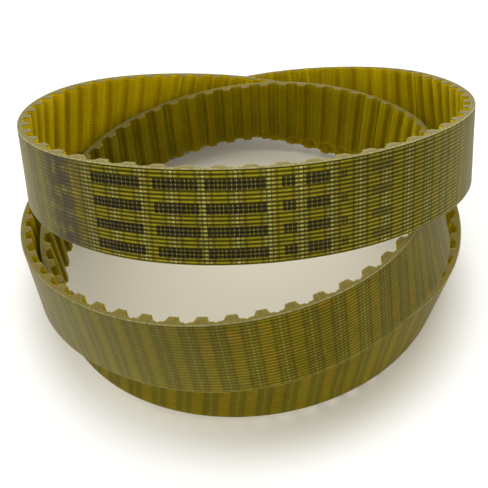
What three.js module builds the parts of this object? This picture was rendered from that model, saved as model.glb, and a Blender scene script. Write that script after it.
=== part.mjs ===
import * as THREE from 'three';

// Endless timing belt, pitch 5 mm, lying in its resting coil of three loops.
// Units mm, +Z up, origin at the centre of the bottom of the whole coil.

// ---- belt section -------------------------------------------------------
const PITCH = 5;              // tooth pitch on the cord line
const TEETH = 172;            // so the pitch length is 860
const WIDTH = 16;             // belt width
const BACK = 0.5;             // outer face above the cord line
const LAND = -0.5;            // land between teeth, below the cord line
const TIP = -1.7;             // tooth tip, below the cord line
const ROOT_HALF = 1.325;      // half tooth width at the land
const TIP_HALF = 0.9;         // half tooth width at the tip
const NOTCH_HALF = 0.4;       // half width of the groove across each land
const NOTCH_FLOOR_HALF = 0.25;
const NOTCH_FLOOR = -0.25;    // groove floor, below the cord line
const CORD_LAYER = 0.16;      // steel section of 23 cords spread over the layer
const CORD_WIDTH = 14.8;      // the cords stop short of both belt edges

// ---- spans --------------------------------------------------------------
const FIRST_BOUNDARY = 220;   // arc length of the first span boundary
const SPANS = 28;
const LONG_SPANS = [4, 11, 18, 25]; // these hold seven teeth, the others six
const SPAN_GAP = 0.3;         // slit between two spans, in the groove of a land

// ---- route of the cord line: periodic cubic spline in arc length ----------
const LENGTH = PITCH * TEETH;
const ROUTE = [
  [-32.814, -31.336, 44.041], [-16.683, -39.449, 47.635], [1.337, -41.014, 48.982], [18.999, -36.411, 48.268],
  [33.567, -25.896, 45.479], [43.629, -11.502, 40.45], [46.758, 5.299, 34.097], [44.768, 21.853, 27.228],
  [37.635, 36.916, 19.84], [23.988, 47.609, 13.562], [6.203, 50.925, 9.973], [-11.431, 46.325, 8.478],
  [-26.422, 36.211, 7.973], [-38.385, 22.663, 8.334], [-45.876, 6.206, 10.244], [-47.151, -11.696, 13.408],
  [-41.532, -28.703, 17.129], [-29.829, -42.004, 21.269], [-14.142, -50.546, 24.997], [3.979, -51.706, 28.123],
  [20.881, -44.611, 29.948], [33.238, -31.049, 29.818], [39.531, -14.146, 27.503], [41.147, 3.303, 23.227],
  [37.606, 20.509, 18.444], [26.557, 34.994, 15.134], [9.282, 41.814, 13.597], [-8.909, 39.034, 12.842],
  [-24.464, 29.743, 12.649], [-36.708, 16.345, 12.941], [-43.228, -0.748, 12.717], [-42.263, -19.037, 12.089],
  [-33.475, -35.23, 12.19], [-18.105, -45.444, 12.144], [0.081, -47.719, 11.146], [17.535, -42.742, 9.839],
  [32.503, -32.566, 8.623], [43.306, -17.914, 7.927], [47.792, -0.173, 8.048], [44.728, 17.862, 8.396],
  [34.957, 33.289, 8.438], [19.704, 43.534, 8.608], [1.563, 45.848, 11.293], [-15.084, 40.26, 16.26],
  [-29.08, 30.223, 21.488], [-40.15, 16.99, 27.123], [-45.19, 0.478, 33.152], [-42.922, -16.781, 38.844],
];
// lean of the belt's width about its own run, radians, same kind of spline
const LEAN = [
  -0.0722, -0.4188, -0.3623, -0.3441, -0.1224, -0.1847, 0.3435, 0.2992,
  0.0838, 0.3538, 0.085, 0.033, -0.0151, -0.1824, -0.1627, -0.6148,
  0.2325, 0.2068, 0.0352, 0.1687, -0.1811, 0.2031, -0.1434, -0.0509,
  0.0236, 0.1909, -0.0185, -0.0741, 0.5161, -0.0441, 0.1506, -0.0746,
];

function weights(f) {
  return {
    v: [(1 - f) ** 3 / 6, (3 * f ** 3 - 6 * f ** 2 + 4) / 6, (-3 * f ** 3 + 3 * f ** 2 + 3 * f + 1) / 6, f ** 3 / 6],
    d: [-((1 - f) ** 2) / 2, (9 * f ** 2 - 12 * f) / 6, (-9 * f ** 2 + 6 * f + 3) / 6, f ** 2 / 2],
  };
}

// place and directions of the belt at arc length s
function station(s) {
  const at = ((s % LENGTH) + LENGTH) % LENGTH;
  let k = at / (LENGTH / ROUTE.length);
  let i = Math.floor(k);
  let w = weights(k - i);
  const r = new THREE.Vector3();
  const t = new THREE.Vector3();
  for (let j = 0; j < 4; j++) {
    const c = ROUTE[(i + j) % ROUTE.length];
    r.addScaledVector(new THREE.Vector3(c[0], c[1], c[2]), w.v[j]);
    t.addScaledVector(new THREE.Vector3(c[0], c[1], c[2]), w.d[j]);
  }
  t.normalize();
  k = at / (LENGTH / LEAN.length);
  i = Math.floor(k);
  w = weights(k - i);
  let lean = 0;
  for (let j = 0; j < 4; j++) lean += w.v[j] * LEAN[(i + j) % LEAN.length];
  const up = new THREE.Vector3(0, 0, 1);
  up.addScaledVector(t, -t.z).normalize();
  const out = new THREE.Vector3().crossVectors(t, up);
  const across = up.clone().multiplyScalar(Math.cos(lean)).addScaledVector(out, Math.sin(lean));
  const normal = out.clone().multiplyScalar(Math.cos(lean)).addScaledVector(up, -Math.sin(lean));
  return { r, t, across, normal };
}

// a point of the flexing back: arc length s, across a, outward b
function flex(s, a, b) {
  const q = station(s);
  return q.r.clone().addScaledVector(q.across, a).addScaledVector(q.normal, b);
}

// a point of a tooth, which stays straight about its own centre
function rigid(centre, ds, a, b) {
  const q = station(centre);
  return q.r.clone().addScaledVector(q.t, ds).addScaledVector(q.across, a).addScaledVector(q.normal, b);
}

const polyurethane = { color: 0x7d7018, roughness: 0.42, metalness: 0 };
const steel = { color: 0x9a9a94, roughness: 0.35, metalness: 1 };

function solid(name, points, faces, look) {
  const position = new Float32Array(points.length * 3);
  points.forEach((p, i) => p.toArray(position, i * 3));
  const geometry = new THREE.BufferGeometry();
  geometry.setAttribute('position', new THREE.BufferAttribute(position, 3));
  geometry.setIndex(faces.flat());
  geometry.computeVertexNormals();
  const mesh = new THREE.Mesh(geometry, new THREE.MeshStandardMaterial(look));
  mesh.name = name;
  return mesh;
}

// four corners of the cord layer at arc length s, anticlockwise seen along the run
function cordCorners(s) {
  const a = CORD_WIDTH / 2;
  const b = CORD_LAYER / 2;
  return [flex(s, -a, -b), flex(s, a, -b), flex(s, a, b), flex(s, -a, b)];
}

function makeSpan(index, first, count) {
  const half = WIDTH / 2;
  const start = first * PITCH + SPAN_GAP / 2;
  const end = (first + count) * PITCH - SPAN_GAP / 2;

  // outline in (arc length, outward), anticlockwise: toothed side, then back
  const outline = [];
  const soft = (s, b) => outline.push({ s, b, at: (a) => flex(s, a, b) });
  const hard = (c, ds, b) => outline.push({ s: c + ds, b, at: (a) => rigid(c, ds, a, b) });
  soft(start, NOTCH_FLOOR);
  soft(first * PITCH + NOTCH_HALF, LAND);
  for (let k = 0; k < count; k++) {
    const centre = (first + k + 0.5) * PITCH;
    hard(centre, -ROOT_HALF, LAND);
    hard(centre, -TIP_HALF, TIP);
    hard(centre, TIP_HALF, TIP);
    hard(centre, ROOT_HALF, LAND);
    if (k < count - 1) {
      const gap = (first + k + 1) * PITCH;
      soft(gap - NOTCH_HALF, LAND);
      soft(gap - NOTCH_FLOOR_HALF, NOTCH_FLOOR);
      soft(gap + NOTCH_FLOOR_HALF, NOTCH_FLOOR);
      soft(gap + NOTCH_HALF, LAND);
    }
  }
  soft((first + count) * PITCH - NOTCH_HALF, LAND);
  soft(end, NOTCH_FLOOR);
  const corner = outline.length; // first point of the back
  soft(end, BACK);
  for (let k = 2 * count - 1; k > 0; k--) soft(first * PITCH + (k * PITCH) / 2, BACK);
  soft(start, BACK);

  const n = outline.length;
  const points = [];
  outline.forEach((o) => points.push(o.at(-half)));
  outline.forEach((o) => points.push(o.at(half)));
  const faces = [];
  const quad = (a, b, c, d) => faces.push([a, b, c], [a, c, d]);

  // back and toothed side
  for (let k = 0; k < n; k++) {
    const i = (k + corner) % n;
    const j = (i + 1) % n;
    if (i === corner - 1 || j === 0) continue;
    // both sides are split along the same diagonal, so a twisted run keeps its thickness
    if (i < corner) quad(i, n + i, n + j, j);
    else quad(n + i, n + j, j, i);
  }
  // the two cut edges of the belt, filled pitch by pitch so that they follow the bend
  const flat = outline.map((o) => new THREE.Vector2(o.s, o.b));
  const backAt = (halfPitch) => corner + 2 * count - halfPitch;
  for (let k = 0; k < count; k++) {
    const f = 8 * k;
    const cell = [f, f + 1, f + 2, f + 3, f + 4, f + 5, f + 6, f + 7, backAt(2 * k + 2), backAt(2 * k + 1), backAt(2 * k)];
    const fills = THREE.ShapeUtils.triangulateShape(cell.map((i) => flat[i]), []).map((tri) => tri.map((i) => cell[i]));
    if (k < count - 1) fills.push([f + 7, f + 8, backAt(2 * k + 2)]);
    for (const [a, b, c] of fills) faces.push([a, b, c], [n + a, n + c, n + b]);
  }
  // slot that the cords fill, and the two end faces around it
  const runs = [start];
  for (let k = 1; k < count; k++) runs.push((first + k) * PITCH);
  runs.push(end);
  const base = points.length;
  const packPoints = [];
  const packFaces = [];
  runs.forEach((s) => cordCorners(s).forEach((p) => { points.push(p); packPoints.push(p); }));
  for (let m = 0; m < runs.length - 1; m++) {
    for (let k = 0; k < 4; k++) {
      const p = m * 4 + k;
      const q = m * 4 + ((k + 1) % 4);
      const wall = k < 2 ? [[p, q, q + 4], [p, q + 4, p + 4]] : [[p, q, p + 4], [q, q + 4, p + 4]];
      packFaces.push(...wall);
      for (const [x, y, z] of wall) faces.push([base + x, base + z, base + y]);
    }
  }
  const last = (runs.length - 1) * 4;
  packFaces.push([last, last + 1, last + 2], [last, last + 2, last + 3]);
  packFaces.push([0, 2, 1], [0, 3, 2]);
  const startRing = [0, n, n + n - 1, n - 1];
  const endRing = [corner - 1, n + corner - 1, n + corner, corner];
  for (let k = 0; k < 4; k++) {
    const l = (k + 1) % 4;
    quad(endRing[k], endRing[l], base + last + l, base + last + k);
    quad(startRing[l], startRing[k], base + k, base + l);
  }
  const tag = String(index).padStart(2, '0');
  return [
    solid(`belt_span_${tag}`, points, faces, polyurethane),
    solid(`cord_pack_${tag}`, packPoints, packFaces, steel),
  ];
}

const belt = new THREE.Group();
belt.name = 'timing_belt';
let boundary = FIRST_BOUNDARY / PITCH;
for (let index = 1; index <= SPANS; index++) {
  const count = LONG_SPANS.includes(index) ? 7 : 6;
  belt.add(...makeSpan(index, boundary, count));
  boundary += count;
}

export default belt;
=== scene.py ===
"""Timing belt in its resting coil: looks. Units metres, +Z up, the frame of the CAD model."""
import math

import bpy
import numpy as np
from mathutils import Matrix, Vector


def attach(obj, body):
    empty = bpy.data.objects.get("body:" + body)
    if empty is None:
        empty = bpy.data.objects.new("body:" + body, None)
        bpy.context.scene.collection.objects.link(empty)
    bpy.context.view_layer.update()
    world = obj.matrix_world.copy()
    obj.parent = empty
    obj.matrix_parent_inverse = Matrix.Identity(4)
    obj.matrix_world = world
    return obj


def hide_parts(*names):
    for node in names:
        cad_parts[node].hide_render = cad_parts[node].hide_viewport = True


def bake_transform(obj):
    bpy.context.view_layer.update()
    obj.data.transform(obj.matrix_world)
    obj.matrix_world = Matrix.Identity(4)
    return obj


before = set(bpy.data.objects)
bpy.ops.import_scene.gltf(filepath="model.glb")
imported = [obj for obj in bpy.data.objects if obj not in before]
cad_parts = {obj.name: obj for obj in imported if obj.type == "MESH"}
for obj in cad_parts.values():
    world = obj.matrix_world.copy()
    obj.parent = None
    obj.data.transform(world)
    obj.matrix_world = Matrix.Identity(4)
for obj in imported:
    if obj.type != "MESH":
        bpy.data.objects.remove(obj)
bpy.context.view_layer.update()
scene = bpy.context.scene

# ---------------------------------------------------------------- route of the cord line (mm)
LENGTH, PITCH, HALF = 860.0, 5.0, 8.0
ROUTE = np.array([
    [-32.814,-31.336,44.041], [-16.683,-39.449,47.635], [1.337,-41.014,48.982], [18.999,-36.411,48.268], [33.567,-25.896,45.479],
    [43.629,-11.502,40.45], [46.758,5.299,34.097], [44.768,21.853,27.228], [37.635,36.916,19.84], [23.988,47.609,13.562],
    [6.203,50.925,9.973], [-11.431,46.325,8.478], [-26.422,36.211,7.973], [-38.385,22.663,8.334], [-45.876,6.206,10.244],
    [-47.151,-11.696,13.408], [-41.532,-28.703,17.129], [-29.829,-42.004,21.269], [-14.142,-50.546,24.997], [3.979,-51.706,28.123],
    [20.881,-44.611,29.948], [33.238,-31.049,29.818], [39.531,-14.146,27.503], [41.147,3.303,23.227], [37.606,20.509,18.444],
    [26.557,34.994,15.134], [9.282,41.814,13.597], [-8.909,39.034,12.842], [-24.464,29.743,12.649], [-36.708,16.345,12.941],
    [-43.228,-0.748,12.717], [-42.263,-19.037,12.089], [-33.475,-35.23,12.19], [-18.105,-45.444,12.144], [0.081,-47.719,11.146],
    [17.535,-42.742,9.839], [32.503,-32.566,8.623], [43.306,-17.914,7.927], [47.792,-0.173,8.048], [44.728,17.862,8.396],
    [34.957,33.289,8.438], [19.704,43.534,8.608], [1.563,45.848,11.293], [-15.084,40.26,16.26], [-29.08,30.223,21.488],
    [-40.15,16.99,27.123], [-45.19,0.478,33.152], [-42.922,-16.781,38.844],
])
LEAN = np.array([
    -0.0722, -0.4188, -0.3623, -0.3441, -0.1224, -0.1847, 0.3435, 0.2992, 0.0838, 0.3538, 0.085, 0.033,
    -0.0151, -0.1824, -0.1627, -0.6148, 0.2325, 0.2068, 0.0352, 0.1687, -0.1811, 0.2031, -0.1434, -0.0509,
    0.0236, 0.1909, -0.0185, -0.0741, 0.5161, -0.0441, 0.1506, -0.0746,
])
FIRST = 220.0
TEETH_OF = [7 if k in (4, 11, 18, 25) else 6 for k in range(1, 29)]
EDGE_OF = np.concatenate([[0], np.cumsum(TEETH_OF)]) * PITCH + FIRST   # 29 span boundaries
ROOT = 14                                                              # index of the root span


def spline(c, s, der=0):
    h = LENGTH / len(c)
    q = np.mod(s, LENGTH) / h
    i = np.floor(q).astype(int)
    f = q - i
    if der == 0:
        w = [(1 - f) ** 3 / 6, (3 * f**3 - 6 * f**2 + 4) / 6, (-3 * f**3 + 3 * f**2 + 3 * f + 1) / 6, f**3 / 6]
    else:
        w = [-((1 - f) ** 2) / 2, (9 * f**2 - 12 * f) / 6, (-9 * f**2 + 6 * f + 3) / 6, f**2 / 2]
    out = 0
    for j in range(4):
        k = c[(i + j) % len(c)]
        out = out + (w[j][:, None] * k if c.ndim == 2 else w[j] * k)
    return out


def stations(s):
    s = np.atleast_1d(np.asarray(s, float))
    r = spline(ROUTE, s)
    t = spline(ROUTE, s, 1)
    t /= np.linalg.norm(t, axis=1, keepdims=True)
    lean = spline(LEAN, s)
    z = np.array([0.0, 0.0, 1.0])
    u = z - (t @ z)[:, None] * t
    u /= np.linalg.norm(u, axis=1, keepdims=True)
    o = np.cross(t, u)
    c, d = np.cos(lean)[:, None], np.sin(lean)[:, None]
    return r, t, c * u + d * o, c * o - d * u


# ---------------------------------------------------------------- section
# half of one pitch, from the tooth's centre to the gap's centre: (distance, height from the cord line)
HALF_TOOTH = [
    (0.0, -1.7), (0.34, -1.7), (0.62, -1.7), (0.74, -1.692), (0.83, -1.665), (0.9, -1.61), (0.95, -1.53), (1.0, -1.41),
    (1.06, -1.23), (1.12, -1.06), (1.18, -0.88), (1.235, -0.74), (1.29, -0.64), (1.36, -0.57), (1.45, -0.525),
    (1.56, -0.505), (1.7, -0.5), (1.9, -0.5), (2.06, -0.495), (2.12, -0.465), (2.16, -0.4), (2.2, -0.31),
    (2.26, -0.26), (2.36, -0.25), (2.5, -0.25)]
ONE = [(-x, b) for x, b in reversed(HALF_TOOTH)] + HALF_TOOTH[1:]      # gap to gap, 49 points

RUN_S, RUN_B = [], []
for k in range(172):
    for x, b in ONE[:-1]:
        RUN_S.append((k + 0.5) * PITCH + x)
        RUN_B.append(b)
RUN_S, RUN_B = np.array(RUN_S), np.array(RUN_B)


def run_between(s0, s1):
    """Arc lengths and inner heights of the fine stations from s0 to s1, both ends included."""
    n0 = int(math.floor(s0 / LENGTH))
    s, b = [], []
    for turn in range(n0, n0 + 3):
        m = (RUN_S + turn * LENGTH >= s0 - 1e-6) & (RUN_S + turn * LENGTH <= s1 + 1e-6)
        s += list(RUN_S[m] + turn * LENGTH)
        b += list(RUN_B[m])
    return np.array(s), np.array(b)


BACK_B = 0.5
# ring round the section: (sign of a, inset of a, from 'o' outer or 'i' inner face, inset of b), clockwise from outer left
RING = [(-1, 0.16, "o", 0.0), (-1, 1.0, "o", 0.0), (1, 1.0, "o", 0.0), (1, 0.16, "o", 0.0), (1, 0.04, "o", 0.05),
        (1, 0.0, "o", 0.16), (1, 0.0, "i", 0.13), (1, 0.035, "i", 0.04), (1, 0.13, "i", 0.0), (-1, 0.13, "i", 0.0),
        (-1, 0.035, "i", 0.04), (-1, 0.0, "i", 0.13), (-1, 0.0, "o", 0.16), (-1, 0.04, "o", 0.05)]
BACK, TEETH, EDGE, INK = 0, 1, 2, 3
RING_MAT = [BACK, BACK, BACK, EDGE, EDGE, EDGE, EDGE, EDGE, TEETH, EDGE, EDGE, EDGE, EDGE, EDGE]


def ring_points(s, bi):
    r, t, w, n = stations(s)
    out = np.zeros((len(s), len(RING), 3))
    coord = np.zeros((len(s), len(RING), 3))
    for k, (sign, da, side, db) in enumerate(RING):
        a = np.full(len(s), sign * (HALF - da))
        b = BACK_B - db if side == "o" else bi + db
        b = np.broadcast_to(b, a.shape)
        out[:, k] = r + a[:, None] * w + b[:, None] * n
        coord[:, k] = np.stack([s, a, b], 1)
    return out, coord


# print on the back: plain upright bars of uneven width in four like rows, with no letters in them
ROWS = [5.5, 1.55, -2.25, -5.95]
WORDS = [(-8.9, 8.9, 1.7), (2.0, 7.0, 1.75), (10.2, 9.0, 1.75), (22.0, 2.2, 1.7), (25.8, 4.2, 1.8), (31.5, 1.2, 1.3), (37.1, 4.1, 1.5)]       # (arc length where a group starts, its length, the bars' height)


def bar_list():
    rng = np.random.default_rng(5)
    bars = []
    for start, long, tall in WORDS:
        x = start
        while x < start + long - 0.3:
            width = rng.uniform(0.45, 0.75)
            bars.append((x, x + width, -tall / 2, tall / 2))
            x += width + rng.uniform(0.1, 0.16)
    return bars


BARS = bar_list()


def ink_blocks(s0, s1):
    """Thin raised films for the printed bars whose middle lies between s0 and s1 (mod the belt's length)."""
    verts, coords, faces = [], [], []
    for row, a0 in enumerate(ROWS):
        for x0, x1, y0, y1 in BARS:
            x0, x1 = x0 + row * 0.07, x1 + row * 0.07
            mid = (x0 + x1) / 2
            while mid < s0:
                x0, x1, mid = x0 + LENGTH, x1 + LENGTH, mid + LENGTH
            if not (s0 <= mid < s1):
                continue
            cols = np.linspace(x0, x1, 3)
            r, t, w, n = stations(cols)
            base = len(verts)
            for q in range(len(cols)):
                for a, b in ((a0 + y0, BACK_B - 0.02), (a0 + y1, BACK_B - 0.02), (a0 + y1, BACK_B + 0.008), (a0 + y0, BACK_B + 0.008)):
                    verts.append(r[q] + a * w[q] + b * n[q])
                    coords.append((cols[q], a, b))
            m = len(cols)
            for q in range(m - 1):
                for e in range(4):
                    f = (e + 1) % 4
                    faces.append((base + 4 * q + e, base + 4 * q + f, base + 4 * q + 4 + f, base + 4 * q + 4 + e))
            faces.append((base, base + 3, base + 2, base + 1))
            faces.append(tuple(base + 4 * (m - 1) + e for e in range(4)))
    return verts, coords, faces


def make_piece(name, s0, s1, mats, trim=(0.0, 0.0)):
    s, bi = run_between(s0, s1)
    s[0] += trim[0]
    s[-1] -= trim[1]
    pts, coord = ring_points(s, bi)
    m, k = len(s), len(RING)
    verts = pts.reshape(-1, 3)
    coord = coord.reshape(-1, 3)
    faces, mat = [], []
    for i in range(m - 1):
        for j in range(k):
            j2 = (j + 1) % k
            faces.append((i * k + j, i * k + j2, (i + 1) * k + j2, (i + 1) * k + j))
            mat.append(RING_MAT[j])
    faces.append(tuple(range(k - 1, -1, -1)))
    faces.append(tuple((m - 1) * k + j for j in range(k)))
    mat += [EDGE, EDGE]
    iv, ic, jf = ink_blocks(s0, s1)
    if iv:
        base = len(verts)
        verts = np.vstack([verts, np.array(iv)])
        coord = np.vstack([coord, np.array(ic)])
        faces += [tuple(base + q for q in f) for f in jf]
        mat += [INK] * len(jf)
    me = bpy.data.meshes.new(name)
    me.from_pydata((verts * 0.001).tolist(), [], faces)
    me.polygons.foreach_set("material_index", np.array(mat, np.int32))
    loops = np.zeros(len(me.loops), np.int32)
    me.loops.foreach_get("vertex_index", loops)
    turn = math.floor(s0 / LENGTH) * LENGTH
    run = me.uv_layers.new(name="run")                 # u: pitches along the belt, v: 0 to 1 across it
    c = coord[loops]
    run.data.foreach_set("uv", np.stack([c[:, 0] / PITCH, (c[:, 1] + HALF) / 16.0], 1).astype(np.float32).ravel())
    deep = me.uv_layers.new(name="deep")               # u: pitches along the belt, v: mm above the cord line, as 0 to 1
    deep.data.foreach_set("uv", np.stack([c[:, 0] / PITCH, (c[:, 2] + 1.7) / 2.2], 1).astype(np.float32).ravel())
    for x in mats:
        me.materials.append(x)
    me.update()
    o = bpy.data.objects.new(name, me)
    scene.collection.objects.link(o)
    import bmesh
    bm = bmesh.new()
    bm.from_mesh(me)
    bmesh.ops.recalc_face_normals(bm, faces=bm.faces)
    bm.to_mesh(me)
    bm.free()
    me.polygons.foreach_set("use_smooth", [True] * len(me.polygons))
    me.set_sharp_from_angle(angle=math.radians(38))
    return o


# ---------------------------------------------------------------- materials
def lin(c):
    return tuple(((x / 255) / 12.92 if x / 255 <= 0.04045 else ((x / 255 + 0.055) / 1.055) ** 2.4) for x in c) + (1.0,)


class Net:
    def __init__(self, name):
        self.mat = bpy.data.materials.new(name)
        self.mat.use_nodes = True
        self.t = self.mat.node_tree
        self.t.nodes.clear()
        self.out = self.t.nodes.new("ShaderNodeOutputMaterial")
        self.bsdf = self.t.nodes.new("ShaderNodeBsdfPrincipled")
        self.t.links.new(self.bsdf.outputs[0], self.out.inputs[0])

    def put(self, socket, value):
        if isinstance(value, bpy.types.NodeSocket):
            self.t.links.new(value, socket)
        else:
            socket.default_value = value

    def m(self, op, a, b=None, c=None, clamp=False):
        n = self.t.nodes.new("ShaderNodeMath")
        n.operation = op
        n.use_clamp = clamp
        for i, x in enumerate((a, b, c)):
            if x is not None:
                self.put(n.inputs[i], x)
        return n.outputs[0]

    def uv(self, name):
        n = self.t.nodes.new("ShaderNodeUVMap")
        n.uv_map = name
        s = self.t.nodes.new("ShaderNodeSeparateXYZ")
        self.t.links.new(n.outputs[0], s.inputs[0])
        return s.outputs[0], s.outputs[1]

    def vec(self, x, y, z=0.0):
        n = self.t.nodes.new("ShaderNodeCombineXYZ")
        for i, v in enumerate((x, y, z)):
            self.put(n.inputs[i], v)
        return n.outputs[0]

    def ramp(self, x, stops, kind="LINEAR"):
        n = self.t.nodes.new("ShaderNodeValToRGB")
        n.color_ramp.interpolation = kind
        el = n.color_ramp.elements
        while len(el) > 1:
            el.remove(el[-1])
        el[0].position, el[0].color = stops[0][0], stops[0][1]
        for p, c in stops[1:]:
            e = el.new(p)
            e.color = c
        self.put(n.inputs[0], x)
        return n.outputs[0]

    def grey(self, x, stops, kind="LINEAR"):
        return self.ramp(x, [(p, (v, v, v, 1.0)) for p, v in stops], kind)

    def noise(self, vector, scale, detail=2.0, rough=0.5):
        n = self.t.nodes.new("ShaderNodeTexNoise")
        self.put(n.inputs["Vector"], vector)
        n.inputs["Scale"].default_value = scale
        n.inputs["Detail"].default_value = detail
        n.inputs["Roughness"].default_value = rough
        return n.outputs[0]

    def mix(self, f, a, b, kind="MIX"):
        n = self.t.nodes.new("ShaderNodeMix")
        n.data_type = "RGBA"
        n.blend_type = kind
        n.clamp_factor = True
        self.put(n.inputs[0], f)
        self.put(n.inputs[6], a)
        self.put(n.inputs[7], b)
        return n.outputs[2]

    def bump(self, height, strength, distance):
        n = self.t.nodes.new("ShaderNodeBump")
        n.inputs["Strength"].default_value = strength
        n.inputs["Distance"].default_value = distance
        self.put(n.inputs["Height"], height)
        self.t.links.new(n.outputs[0], self.bsdf.inputs["Normal"])

    def set(self, **kw):
        for k, v in kw.items():
            self.put(self.bsdf.inputs[k.replace("_", " ")], v)


CORD_PITCH = 0.68


def cords(net, v):
    """0 between cords to 1 over a cord, and the share of the width that holds cords."""
    a = net.m("MULTIPLY_ADD", v, 16.0, -8.0)
    q = net.m("FRACT", net.m("MULTIPLY_ADD", a, 1 / CORD_PITCH, 200.5))
    tri = net.m("MULTIPLY", net.m("ABSOLUTE", net.m("SUBTRACT", q, 0.5)), 2.0)     # 0 at a cord's middle
    line = net.m("SMOOTH_MAX", net.m("SUBTRACT", 1.0, tri), 0.0, 0.1)
    inside = net.m("LESS_THAN", net.m("ABSOLUTE", a), 7.65)
    return a, line, inside


def translucent(net, share):
    """Cast polyurethane: light soaks a millimetre or two into it, red and green further than blue."""
    p = net.bsdf.inputs
    p["Subsurface Weight"].default_value = share
    p["Subsurface Radius"].default_value = (3.4, 3.1, 0.2)
    p["Subsurface Scale"].default_value = 0.001
    p["Specular IOR Level"].default_value = 0.04


def gap_distance(net, u):
    """mm from the nearest gap centre, 0 to 2.5."""
    p = net.m("FRACT", net.m("ADD", u, 200.0))
    d = net.m("SUBTRACT", 0.5, net.m("ABSOLUTE", net.m("SUBTRACT", p, 0.5)))
    return net.m("MULTIPLY", d, 5.0)


def along(net, u, stops):
    """A value that drifts along the belt: stops are (arc length in mm, value)."""
    return net.grey(net.m("DIVIDE", net.m("SUBTRACT", u, 44.0), 172.0), [((x - 220.0) / 860.0, y) for x, y in stops])


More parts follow.
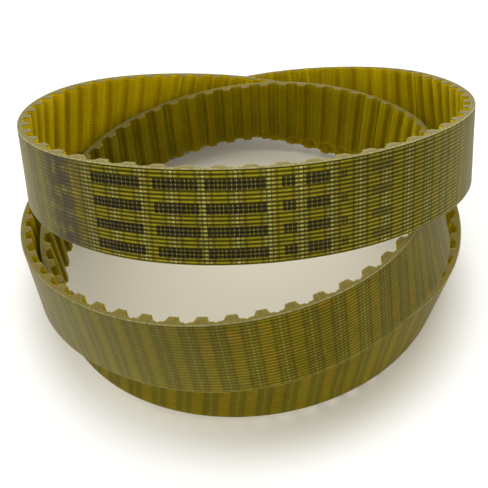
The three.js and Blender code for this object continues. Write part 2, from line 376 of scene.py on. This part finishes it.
def back_material():
    net = Net("belt_back")
    u, v = net.uv("run")
    a, line, inside = cords(net, v)
    d = gap_distance(net, u)
    fine = net.noise(net.vec(net.m("MULTIPLY", u, 5.0), a), 1.1, 3.0, 0.6)
    cord = net.m("FLOOR", net.m("MULTIPLY_ADD", a, 1 / CORD_PITCH, 200.5))
    streak = net.noise(net.vec(net.m("MULTIPLY", u, 3.2), net.m("MULTIPLY", cord, 3.7)), 1.0, 2.0, 0.5)
    patch = net.noise(net.vec(net.m("MULTIPLY", u, 2.2), net.m("MULTIPLY", a, 0.45), 3.0), 0.8, 2.0, 0.6)
    slow = net.noise(net.vec(net.m("MULTIPLY", u, 0.35), net.m("MULTIPLY", a, 0.05)), 1.0, 2.0, 0.5)
    pale = along(net, u, [(220, 0.1), (290, 0.15), (330, 0.34), (365, 0.22), (385, 0.08), (550, 0.03), (660, 0.05), (815, 0.25), (850, 0.6), (880, 0.8), (903, 0.62), (918, 0.35), (932, 0.12), (1080, 0.1)])
    # bands seen through the back: notch, land and tooth; the dark band where the land meets the tooth is painted shadow
    # of the tooth's flank
    q = net.m("DIVIDE", net.m("ADD", d, net.m("MULTIPLY_ADD", fine, 0.12, -0.06)), 2.5)
    low = net.ramp(q, [(0.0, lin((54, 49, 4))), (0.08, lin((54, 49, 4))), (0.13, lin((44, 39, 0))), (0.19, lin((48, 43, 0))),
                       (0.42, lin((48, 43, 0))), (0.52, lin((40, 36, 0))), (0.62, lin((50, 44, 0))), (1.0, lin((50, 44, 0)))])
    high = net.ramp(q, [(0.0, lin((146, 137, 50))), (0.1, lin((146, 137, 50))), (0.14, lin((84, 78, 10))), (0.19, lin((146, 137, 50))),
                        (0.36, lin((146, 137, 50))), (0.5, lin((108, 98, 10))), (0.64, lin((152, 140, 26))), (1.0, lin((152, 140, 26)))])
    bright = net.m("MULTIPLY", net.grey(q, [(0.0, 1.0), (0.07, 1.0), (0.12, 0.0), (0.2, 0.0), (0.24, 0.5), (0.3, 0.32), (0.38, 0.0)]),
                   net.m("MULTIPLY", pale, net.grey(streak, [(0.25, 0.55), (0.6, 1.0)])))
    bright = net.m("MULTIPLY", bright, net.grey(line, [(0.4, 0.0), (0.72, 1.0)]))
    high = net.mix(bright, high, lin((198, 192, 126)))
    crisp = along(net, u, [(220, 0.1), (285, 0.12), (305, 0.35), (325, 0.72), (360, 0.6), (378, 0.25), (390, 0.15), (550, 0.12), (600, 0.2), (660, 0.2), (815, 0.3), (838, 0.5), (855, 1.0), (905, 0.95), (918, 0.75), (928, 0.4), (938, 0.15), (1080, 0.1)])
    shape = net.m("ADD", net.m("MULTIPLY", net.m("POWER", line, 1.8), crisp), net.m("MULTIPLY", net.m("SUBTRACT", 1.0, crisp), 0.4))
    tone = net.mix(net.m("MULTIPLY", shape, inside), low, high)
    # where the surface is dull the bands melt into one another
    plain_low = net.ramp(q, [(0.0, lin((78, 71, 8))), (0.3, lin((66, 60, 0))), (0.75, lin((88, 79, 2))), (1.0, lin((92, 82, 2)))], "EASE")
    plain_high = net.ramp(q, [(0.0, lin((128, 120, 40))), (0.12, lin((124, 115, 30))), (0.3, lin((104, 96, 8))), (0.75, lin((132, 119, 8))), (1.0, lin((136, 122, 8)))], "EASE")
    tone = net.mix(along(net, u, [(220, 0.3), (290, 0.3), (320, 0.6), (345, 0.75), (375, 0.5), (390, 0.35), (550, 0.3), (660, 0.35), (815, 0.3), (840, 0.7), (852, 1.0), (905, 1.0), (925, 0.7), (940, 0.4), (1080, 0.3)]), net.mix(net.m("MULTIPLY", shape, inside), plain_low, plain_high), tone)
    # uneven casting: slow drift, fine mottling and orange patches over the teeth; painted light and shade from strand
    # to strand, and painted yellow highlight streaks along the cord lines in the orange patches
    drift = net.ramp(slow, [(0.3, (0.80, 0.80, 0.80, 1)), (0.7, (1.12, 1.12, 1.12, 1))])
    tone = net.mix(1.0, tone, drift, "MULTIPLY")
    # painted light and shade: the back's brightness raised or lowered strand by strand along the belt
    tone = net.mix(1.0, tone, net.ramp(along(net, u, [(220, 0.45), (290, 0.46), (320, 0.43), (360, 0.44), (390, 0.44), (550, 0.52), (660, 0.52), (830, 0.5), (880, 0.49), (925, 0.46), (1080, 0.5)]), [(0.0, (0.0, 0.0, 0.0, 1)), (1.0, (2.0, 2.0, 2.0, 1))]), "MULTIPLY")
    grain = net.grey(fine, [(0.3, 0.88), (0.7, 1.08)])
    tone = net.mix(1.0, tone, grain, "MULTIPLY")
    tone = net.mix(net.m("MULTIPLY", line, net.m("MULTIPLY", crisp, 0.9)), tone, net.mix(1.0, tone, net.grey(streak, [(0.3, 0.72), (0.68, 1.22)]), "MULTIPLY"))
    # orange patches over the teeth: the orange is the casting's own, the bright yellow cord lines in them are painted
    # highlight streaks
    warm = net.m("MULTIPLY", net.grey(patch, [(0.5, 0.0), (0.66, 0.6)]), net.grey(q, [(0.5, 0.1), (0.64, 1.0)]))
    tone = net.mix(net.m("MULTIPLY", warm, along(net, u, [(220, 0.2), (300, 0.3), (325, 1.0), (365, 0.7), (385, 0.1), (560, 0.5), (620, 0.9), (660, 0.5), (815, 0.0), (900, 0.0), (925, 0.9), (940, 0.6), (1080, 0.1)])), tone, net.mix(line, lin((60, 43, 0)), lin((146, 116, 14))))
    tone = net.mix(along(net, u, [(220, 0.3), (285, 0.1), (305, 0.6), (330, 1.0), (660, 1.0), (820, 0.0), (900, 0.0), (920, 0.5), (945, 0.6), (1080, 0.5)]), tone, net.mix(1.0, tone, (1.0, 0.955, 0.35, 1), "MULTIPLY"))
    # painted sheen: a milky grey veil on the strands that turn away at a grazing angle, standing in for the reflection
    # of the bright surroundings
    tone = net.mix(along(net, u, [(220, 0.2), (275, 0.33), (300, 0.12), (325, 0.0), (350, 0.0), (560, 0.0), (660, 0.0), (815, 0.35), (838, 0.2), (852, 0.0), (905, 0.0), (930, 0.05), (945, 0.15), (1080, 0.0)]), tone, lin((128, 124, 92)))
    # dark rub marks before the print
    blot = net.noise(net.vec(net.m("MULTIPLY", u, 5.0), net.m("MULTIPLY", a, 0.55)), 0.5, 3.0, 0.6)
    rows = net.m("ABSOLUTE", net.m("SINE", net.m("MULTIPLY_ADD", a, 3.14159 / 3.75, 1.45)))
    blot = net.m("MULTIPLY", blot, net.m("MULTIPLY_ADD", rows, 0.3, 0.78))
    sm = along(net, u, [(831.5, 0.0), (833.0, 0.4), (836.8, 0.35), (837.6, 0.05), (841.0, 0.08), (841.6, 1.0), (846.2, 1.0), (846.8, 0.35), (849.4, 0.5), (850.2, 0.0)])
    sm = net.m("MULTIPLY", sm, net.grey(blot, [(0.33, 0.12), (0.5, 1.0)]))
    tone = net.mix(net.m("MULTIPLY", sm, 0.85), tone, lin((58, 50, 42)))
    rough = net.m("MULTIPLY_ADD", fine, 0.1, 0.38)
    net.set(Base_Color=tone, Roughness=rough, IOR=1.49)
    h = net.m("ADD", net.m("MULTIPLY", net.m("MULTIPLY", line, inside), 0.6), net.m("MULTIPLY", fine, 0.25))
    h = net.m("ADD", h, net.grey(q, [(0.0, 0.55), (0.1, 0.55), (0.16, 0.4), (0.45, 0.45), (0.55, 0.6), (1.0, 0.62)]))
    net.bump(h, 1.0, 0.00004)
    translucent(net, 0.2)
    return net.mat


def teeth_material():
    net = Net("belt_teeth")
    u, v = net.uv("run")
    a, line, inside = cords(net, v)
    d = gap_distance(net, u)
    fine = net.noise(net.vec(net.m("MULTIPLY", u, 5.0), a), 1.3, 3.0, 0.6)
    slow = net.noise(net.vec(net.m("MULTIPLY", u, 0.5), net.m("MULTIPLY", a, 0.08)), 1.0, 2.0, 0.5)
    q = net.m("DIVIDE", d, 2.5)
    tone = net.ramp(q, [(0.0, lin((160, 146, 12))), (0.14, lin((160, 146, 12))), (0.19, lin((158, 141, 3))), (0.45, lin((158, 141, 3))),
                        (0.56, lin((160, 140, 1))), (0.66, lin((153, 134, 1))), (1.0, lin((153, 134, 1)))])
    land = net.m("MULTIPLY", net.grey(q, [(0.0, 1.0), (0.45, 0.8), (0.6, 0.12), (1.0, 0.05)]), along(net, u, [(220, 0.7), (400, 0.6), (430, 0.25), (520, 0.25), (560, 0.6), (740, 0.9), (1080, 0.9)]))
    dark = net.mix(1.0, tone, (0.66, 0.64, 0.55, 1), "MULTIPLY")
    k = net.m("MULTIPLY", net.m("MULTIPLY", net.m("SUBTRACT", 1.0, line), inside), land)
    tone = net.mix(k, tone, dark)
    tone = net.mix(1.0, tone, net.ramp(slow, [(0.3, (0.84, 0.83, 0.8, 1)), (0.7, (1.1, 1.1, 1.1, 1))]), "MULTIPLY")
    tone = net.mix(1.0, tone, net.grey(fine, [(0.3, 0.9), (0.7, 1.06)]), "MULTIPLY")
    # painted light and shade: the inner faces darker on the innermost strand at the back and lighter on others, strand
    # by strand along the belt
    strand_light_and_shade = along(net, u, [(220, 0.42), (270, 0.42), (400, 0.42), (430, 0.33), (480, 0.29), (490, 0.25), (505, 0.21), (530, 0.25), (560, 0.42), (700, 0.5), (740, 0.55), (815, 0.58), (935, 0.51), (1000, 0.51), (1080, 0.45)])
    tone = net.mix(1.0, tone, net.ramp(strand_light_and_shade, [(0.0, (0, 0, 0, 1)), (1.0, (2, 2, 2, 1))]), "MULTIPLY")
    net.set(Base_Color=tone, Roughness=net.m("MULTIPLY_ADD", fine, 0.12, 0.42), IOR=1.49)
    h = net.m("ADD", net.m("MULTIPLY", net.m("MULTIPLY", line, land), 0.5), net.m("MULTIPLY", fine, 0.35))
    net.bump(h, 1.0, 0.00003)
    translucent(net, 1.0)
    return net.mat


def edge_material():
    net = Net("belt_cut_edge")
    u, v = net.uv("deep")
    w = net.m("MULTIPLY", u, 5.0)
    b = net.m("MULTIPLY_ADD", v, 2.2, -1.7)
    x = net.m("SUBTRACT", 2.5, gap_distance(net, u))                    # mm from the tooth's centre
    fine = net.noise(net.vec(w, b), 1.6, 3.0, 0.55)
    spark = net.noise(net.vec(net.m("MULTIPLY", w, 0.6), b, 5.0), 3.2, 2.0, 0.5)
    # distance inside the cut outline: tooth tip, flank, land and back
    flank = net.m("SUBTRACT", net.m("MULTIPLY_ADD", b, 0.4, 1.55), x)
    tip = net.m("ADD", b, 1.7)
    tooth = net.m("SMOOTH_MIN", flank, tip, 0.1)
    land = net.m("ADD", b, 0.5)
    body = net.m("SMOOTH_MAX", tooth, land, 0.1)
    rim = net.m("SMOOTH_MIN", body, net.m("SUBTRACT", 0.5, b), 0.05)    # mm in from the outline
    tone = net.mix(net.grey(b, [(0.0, 0.0), (0.12, 1.0)]), lin((112, 101, 46)), lin((108, 102, 58)))
    tone = net.mix(net.m("MULTIPLY", net.grey(fine, [(0.5, 0.0), (0.66, 0.7)]), net.grey(net.m("DIVIDE", x, 2.5), [(0.3, 1.0), (0.5, 0.0)])), tone, lin((138, 110, 56)))
    tone = net.mix(1.0, tone, net.grey(fine, [(0.3, 0.9), (0.7, 1.1)]), "MULTIPLY")
    # painted highlights: a pale line just inside the cut outline and a strip along the outer rim, broken into sparkles,
    # stronger where 'shine' is high; the same line is a raised ridge in the bump
    ridge_and_highlight = net.grey(rim, [(0.0, 0.0), (0.06, 0.0), (0.1, 1.0), (0.15, 1.0), (0.24, 0.0)])
    shine = along(net, u, [(220, 0.15), (290, 0.2), (340, 0.25), (500, 0.1), (820, 0.4), (850, 0.9), (925, 1.0), (945, 0.4), (1080, 0.1)])
    # painted sheen: the cut edge paler on the strands that 'shine' picks out
    tone = net.mix(net.m("MULTIPLY", shine, 0.4), tone, lin((132, 126, 86)))
    outer = net.grey(net.m("SUBTRACT", 0.5, b), [(0.0, 0.8), (0.12, 0.8), (0.2, 0.0)])
    glint = net.m("ADD", net.m("MULTIPLY", ridge_and_highlight, 0.8), net.m("MULTIPLY", outer, 0.22), clamp=True)
    tone = net.mix(net.m("MULTIPLY", net.m("MULTIPLY", glint, net.grey(spark, [(0.42, 0.05), (0.56, 1.0)])), net.m("MULTIPLY_ADD", shine, 0.7, 0.3)), tone, lin((186, 182, 138)))
    tone = net.mix(1.0, tone, net.grey(body, [(0.0, 0.38), (0.05, 0.55), (0.1, 1.0)]), "MULTIPLY")
    net.set(Base_Color=tone, Roughness=net.m("MULTIPLY_ADD", fine, 0.15, 0.4), IOR=1.49)
    net.bump(net.m("ADD", net.m("MULTIPLY", fine, 0.6), net.m("MULTIPLY", ridge_and_highlight, 0.6)), 1.0, 0.000015)
    translucent(net, 0.3)
    return net.mat


def ink_material():
    net = Net("print_film")
    u, v = net.uv("run")
    a, line, inside = cords(net, v)
    w = net.m("MULTIPLY", u, 5.0)
    worn = net.noise(net.vec(w, a), 1.1, 3.0, 0.6)
    faint = along(net, u, [(220, 0.0), (848, 0.0), (853, 0.0), (889, 0.1), (891, 0.3), (895, 0.35), (896.5, 0.42), (905, 0.45), (1080, 0.45)])
    peak = net.m("MULTIPLY", net.m("POWER", line, 1.6), net.grey(worn, [(0.3, 0.35), (0.7, 0.9)]))
    tone = net.mix(peak, lin((14, 11, 5)), lin((74, 67, 34)))
    under = net.mix(net.m("POWER", line, 1.5), lin((50, 44, 2)), lin((140, 130, 34)))
    tone = net.mix(faint, tone, under)
    net.set(Base_Color=tone, Roughness=net.m("MULTIPLY_ADD", worn, 0.15, 0.42))
    net.bsdf.inputs["Specular IOR Level"].default_value = 0.06
    net.bump(net.m("ADD", net.m("MULTIPLY", line, 0.6), net.m("MULTIPLY", worn, 0.4)), 1.0, 0.00003)
    return net.mat


def steel_material():
    net = Net("tension_cords")
    tc = net.t.nodes.new("ShaderNodeTexCoord")
    sp = net.t.nodes.new("ShaderNodeSeparateXYZ")
    net.t.links.new(tc.outputs["Object"], sp.inputs[0])
    z = net.m("MULTIPLY", sp.outputs[2], 1000.0 / CORD_PITCH)
    q = net.m("ABSOLUTE", net.m("SUBTRACT", net.m("FRACT", z), 0.5))
    twist = net.noise(tc.outputs["Object"], 2600.0, 2.0, 0.6)
    tone = net.mix(net.grey(q, [(0.2, 0.0), (0.3, 1.0)]), lin((150, 150, 146)), lin((80, 78, 62)))
    tone = net.mix(1.0, tone, net.grey(twist, [(0.3, 0.75), (0.7, 1.1)]), "MULTIPLY")
    net.set(Base_Color=tone, Metallic=1.0, Roughness=net.m("MULTIPLY_ADD", twist, 0.2, 0.3))
    net.bump(net.m("ADD", twist, q), 1.0, 0.00003)
    return net.mat


MATS = [back_material(), teeth_material(), edge_material(), ink_material()]
STEEL = steel_material()

# ---------------------------------------------------------------- pieces: one across each hinge, mid span to mid span
MID = [(EDGE_OF[i] + EDGE_OF[i + 1]) / 2 for i in range(28)]
for i in range(1, 28):
    o = make_piece("belt_run_%02d_%02d" % (i, i + 1), MID[i - 1], MID[i], MATS)
    r, t, w, n = stations([EDGE_OF[i]])
    b = Vector(((r + 9.0 * t)[0] * 0.001).tolist())
    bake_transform(o)
    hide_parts("belt_span_%02d" % i)
tail = make_piece("belt_run_28_open", MID[27], EDGE_OF[28], MATS, (0.0, 0.06))
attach(tail, "span_28")
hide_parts("belt_span_28")
head = make_piece("belt_run_open_01", EDGE_OF[0], MID[0], MATS, (0.06, 0.0))
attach(head, "span_01")
for i in range(1, 29):
    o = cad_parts["cord_pack_%02d" % i]
    o.data.materials.clear()
    o.data.materials.append(STEEL)

# ---------------------------------------------------------------- floor
floor_mat = Net("floor")
tc = floor_mat.t.nodes.new("ShaderNodeTexCoord")
soft = floor_mat.noise(tc.outputs["Object"], 9.0, 3.0, 0.5)
sep = floor_mat.t.nodes.new("ShaderNodeSeparateXYZ")
floor_mat.t.links.new(tc.outputs["Object"], sep.inputs[0])
# painted shade: the floor a darker warm beige under and inside the belt's loops, standing in for its shadow and yellow
# bounce, near white further out
away = floor_mat.m("SQRT", floor_mat.m("ADD", floor_mat.m("POWER", sep.outputs[0], 2.0), floor_mat.m("POWER", floor_mat.m("ADD", sep.outputs[1], 0.004), 2.0)))
pale = floor_mat.grey(floor_mat.m("MULTIPLY", away, 10.0), [(0.41, 0.0), (0.56, 1.0)], "EASE")
warm = floor_mat.ramp(soft, [(0.3, lin((212, 207, 190))), (0.7, lin((219, 214, 197)))])
floor_mat.set(Base_Color=floor_mat.mix(pale, warm, lin((254, 254, 253))), Roughness=0.7)
floor_mat.bsdf.inputs["Specular IOR Level"].default_value = 0.2
bpy.ops.mesh.primitive_plane_add(size=6.0, location=(0, 0, 0))
floor = bpy.context.object
floor.name = "floor"
floor.data.materials.append(floor_mat.mat)

# ---------------------------------------------------------------- light
world = bpy.data.worlds.new("studio")
scene.world = world
world.use_nodes = True
world.node_tree.nodes["Background"].inputs[0].default_value = (1.0, 0.99, 0.97, 1)
world.node_tree.nodes["Background"].inputs[1].default_value = 0.97


def area(name, where, target, size, power, colour=(1, 1, 1)):
    d = bpy.data.lights.new(name, "AREA")
    d.shape = "RECTANGLE"
    d.size, d.size_y = size
    d.energy = power
    d.color = colour
    o = bpy.data.objects.new(name, d)
    o.location = where
    o.rotation_euler = (Vector(target) - Vector(where)).to_track_quat("-Z", "Y").to_euler()
    scene.collection.objects.link(o)
    return o


area("key", (-0.25, 0.1, 1.2), (0, 0, 0.02), (1.8, 1.8), 9.5)

# ---------------------------------------------------------------- camera
FOCAL, TILT, ROLL = 53.321, 0.778945, -0.009339
EYE = Vector((-0.000477, -0.122526, 0.124442))
cd = bpy.data.cameras.new("camera")
cam = bpy.data.objects.new("camera", cd)
scene.collection.objects.link(cam)
scene.camera = cam
forward = Vector((0, math.cos(TILT), -math.sin(TILT)))
up = Vector((0, math.sin(TILT), math.cos(TILT)))
right = Vector((1, 0, 0))
cr, sr = math.cos(ROLL), math.sin(ROLL)
right, up = cr * right - sr * up, sr * right + cr * up
m = Matrix((right, up, -forward)).transposed().to_4x4()
m.translation = EYE
cam.matrix_world = m
cd.sensor_width = 36.0
cd.lens = FOCAL
cd.shift_x, cd.shift_y = -0.00110, -0.00365
cd.clip_start, cd.clip_end = 0.01, 20.0
cd.dof.use_dof = False
scene.view_settings.view_transform = "Standard"
scene.view_settings.look = "None"
